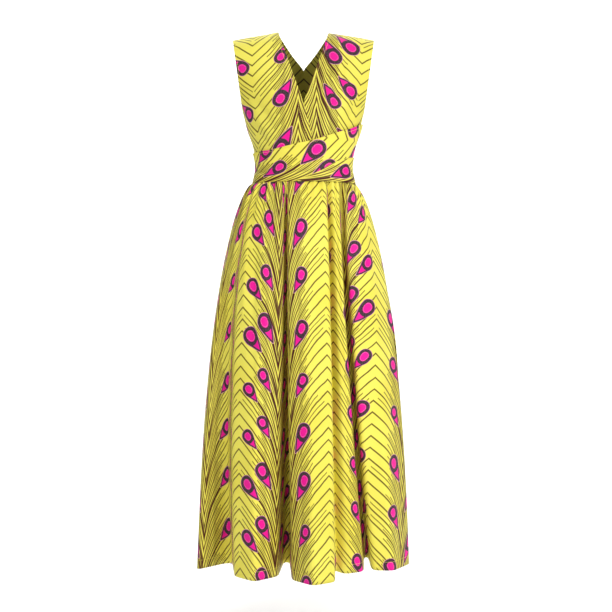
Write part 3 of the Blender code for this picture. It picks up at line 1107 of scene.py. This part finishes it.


# %% [markdown]
# Which way the print runs
#
# The skirt is cut with the feathers pointing up. The bodice is cut with them pointing down, and
# the sash is cut along the cloth, so its feathers lie on their side. Each piece turns and shifts
# the same print, names the half feathers that have no inner or no outer drops, and gives it a
# shade. The shade is painted shade: it darkens the bodice and the sash a little, where the lights
# fall on them more strongly than on the skirt. The inside of the cloth carries the same print at
# half brightness, as painted shade for the shadow that it lies in. Each sheet replaces its plain
# solid.

# %% Give each piece its cloth
# the last column is each piece's shade: painted shade, lower on the bodice and the sash, where the
# lights fall more strongly
LAID = (
    Print("bodice_front_right", 180.0, 0.258, 0.400, 0.050, (3,), (2,), 0.94),
    Print("bodice_front_left", 180.0, 0.034, 0.420, 0.063, (-1, 1), (-1, 1), 0.90),
    Print("bodice_back_right", 180.0, 0.200, 0.370, 0.000, (), (2,), 0.95),
    Print("bodice_back_left", 180.0, 0.040, 0.440, 0.030, (), (), 0.95),
    Print("sash_front", -90.0, -0.118, 0.050, 0.058, (), (), 0.97),
    Print("sash_back", -90.0, -0.110, 0.150, 0.000, (), (), 0.97),
    Print("sash_lower", -98.0, -0.105, 0.300, 0.090, (), (), 0.97),
    Print("skirt_front", 0.0, -0.5875, 0.000, 0.000, (-3,), (-1, 3, 4, 6, 8), 1.0),
    Print("skirt_back", 0.0, -0.5875, 0.000, 0.000, (), (10, 13), 1.0),
)
PRINTS = {laid.node: wax_print("print_" + laid.node, laid) for laid in LAID}
# the inside of the cloth: the same print at half brightness, as painted shade
INSIDE_PAINTED_SHADE = Print("inside", 0.0, -0.1225, 0.0, 0.0, (), (-1, 0, 1), 0.50)
INSIDE_PRINT_PAINTED_SHADE = wax_print("print_inside", INSIDE_PAINTED_SHADE)
for node, cut in sheets.items():
    cut.piece.data.materials.append(PRINTS[node])
    # the second slot goes to the inner face: the inside print in painted shade
    cut.piece.data.materials.append(INSIDE_PRINT_PAINTED_SHADE)
    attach(cut.piece, BODY_NAME)
    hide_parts(node)
print(len(PRINTS), "pieces of cloth are printed")

# %% [markdown]
# Topstitching
#
# The turned edges are held down by rows of stitches: along the hem, the neck edges, the armholes
# and the top of the sash. Each stitch is a tiny flat block of thread, set along a row of the
# sheet's own points, counted from one edge. The stitches of one piece are joined in one mesh.

# %% Sew the edges
STITCH = 0.0032
STITCH_PITCH = 0.0046
THREAD = 0.0006
TWIST_SCALE = 900.0
Row = namedtuple("Row", "kind across_piece place")
STITCH_ROWS = (
    Row("bodice", False, 3),
    Row("bodice", False, -4),
    Row("sash", True, 2),
    Row("skirt", True, -3),
)


def stitches_along(bm, points, outward):
    steps = np.linalg.norm(np.diff(points, axis=0), axis=1)
    passed = np.concatenate([[0.0], np.cumsum(steps)])
    places = np.arange(STITCH_PITCH, passed[-1] - STITCH_PITCH, STITCH_PITCH)
    for place in places:
        here, ahead, out = (
            Vector([np.interp(at, passed, values[:, axis]) for axis in range(3)])
            for at, values in ((place, points), (place + STITCH / 2, points), (place, outward))
        )
        along = (ahead - here).normalized()
        side = out.cross(along).normalized()
        turned = Matrix((along, side, along.cross(side))).transposed().to_4x4()
        sized = Matrix.Diagonal((STITCH, THREAD, THREAD, 1.0))
        lifted = Matrix.Translation(here + out * CLOTH / 2)
        bmesh.ops.create_cube(bm, size=1.0, matrix=lifted @ turned @ sized)


thread = bpy.data.materials.new("yellow_thread")
thread.use_nodes = True
r = Recipe(thread.node_tree)
twist = r.noise(r.node("ShaderNodeTexCoord").outputs["Object"], TWIST_SCALE)
thread_shader = thread.node_tree.nodes["Principled BSDF"]
r.feed(thread_shader.inputs["Base Color"], r.mix(twist, GROUND_DEEP, GROUND))
thread_shader.inputs["Roughness"].default_value = 0.6

for node, cut in sheets.items():
    bm = bmesh.new()
    for row in STITCH_ROWS:
        if not node.startswith(row.kind):
            continue
        line = (row.place,) if row.across_piece else (slice(None), row.place)
        stitches_along(bm, cut.points[line], cut.outward[line])
    sewing = object_from(bm, node + "_stitches")
    sewing.data.materials.append(thread)
    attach(sewing, BODY_NAME)
    print(f"{node}: {len(sewing.data.polygons) // 6} stitches")

# %% [markdown]
# Floor and light
#
# The dress is shown against plain white. A sheet of paper curves from the floor up to a wall, so
# no horizon shows. Big soft lights from the front keep the colours bright while the folds still
# shade, and one behind the dress lights the wall alone.

# %% Backdrop, lights and world
FLOOR_DROP = 1.62
BACKDROP_WIDTH = 14.0
BACKDROP = ((-6.0, 0.0), (3.6, 0.0), (4.2, 0.15), (4.5, 0.7), (4.6, 6.0))
PAPER_WHITE = (0.93, 0.93, 0.93, 1.0)
ROOM_WHITE = (1.0, 1.0, 1.0, 1.0)
ROOM_LIGHT = 0.34
Light = namedtuple("Light", "name place aim size power")
LIGHTS = (
    Light("key", (2.1, -3.0, 0.6), (0.0, 0.0, -0.7), 1.2, 86.0),
    Light("fill", (-1.3, -2.2, 0.7), (0.0, 0.0, -0.15), 0.9, 18.0),
    Light("top", (0.0, 0.2, 2.2), (0.0, 0.0, -0.5), 1.6, 10.0),
    Light("back_wall", (0.0, 1.7, 1.8), (0.0, 4.0, -1.1), 2.6, 160.0),
)

bm = bmesh.new()
corners = [bm.verts.new((-BACKDROP_WIDTH / 2, y, z - FLOOR_DROP)) for y, z in BACKDROP]
for first, second in zip(corners, corners[1:]):
    bm.edges.new((first, second))
swept = bmesh.ops.extrude_edge_only(bm, edges=bm.edges[:])
moved = [part for part in swept["geom"] if isinstance(part, bmesh.types.BMVert)]
bmesh.ops.translate(bm, verts=moved, vec=(BACKDROP_WIDTH, 0.0, 0.0))
bmesh.ops.recalc_face_normals(bm, faces=bm.faces)
for face in bm.faces:
    face.smooth = True
backdrop = object_from(bm, "backdrop")
paper = bpy.data.materials.new("backdrop_paper")
paper.use_nodes = True
paper_shader = paper.node_tree.nodes["Principled BSDF"]
paper_shader.inputs["Base Color"].default_value = PAPER_WHITE
paper_shader.inputs["Roughness"].default_value = 0.9
backdrop.data.materials.append(paper)

for light in LIGHTS:
    data = bpy.data.lights.new(light.name, "AREA")
    data.size = light.size
    data.energy = light.power
    lamp = bpy.data.objects.new(light.name, data)
    lamp.location = light.place
    direction = Vector(light.aim) - Vector(light.place)
    lamp.rotation_euler = direction.to_track_quat("-Z", "Y").to_euler()
    bpy.context.scene.collection.objects.link(lamp)

world = bpy.data.worlds.new("white_room")
world.use_nodes = True
room = world.node_tree.nodes["Background"]
room.inputs["Color"].default_value = ROOM_WHITE
room.inputs["Strength"].default_value = ROOM_LIGHT
bpy.context.scene.world = world
bpy.context.scene.view_settings.view_transform = "Standard"
print(len(LIGHTS), "soft lights")
